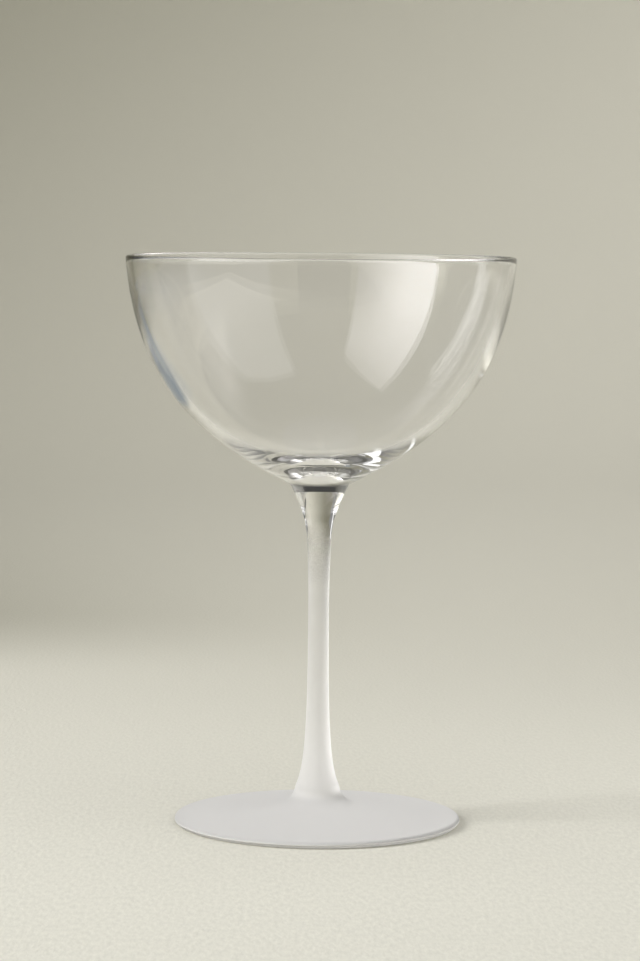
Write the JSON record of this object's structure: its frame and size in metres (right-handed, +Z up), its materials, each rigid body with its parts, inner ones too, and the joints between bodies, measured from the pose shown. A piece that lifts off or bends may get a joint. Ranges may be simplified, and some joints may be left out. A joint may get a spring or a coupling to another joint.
{
  "type": "coupe glass",
  "caption": "Stemmed coupe glass with a clear, deep rounded bowl, a slim drawn stem that fades from clear to frosted, and a frosted disc foot.",
  "frame": {"origin": "centre of the circle that the foot stands on, on the table", "axes": "+Z up along the glass's axis of revolution, from foot to rim; X and Y are free because the glass is round"},
  "size_m": [0.108, 0.108, 0.158],
  "materials": {
    "clear_glass": "clear, fire-polished",
    "fading_frost": "clear under the bowl, fading to satin frost on the shaft",
    "frosted_glass": "satin frost"
  },
  "bodies": {
    "root": {"bowl": "clear_glass", "stem": "fading_frost", "foot": "frosted_glass"}
  },
  "joints": []
}
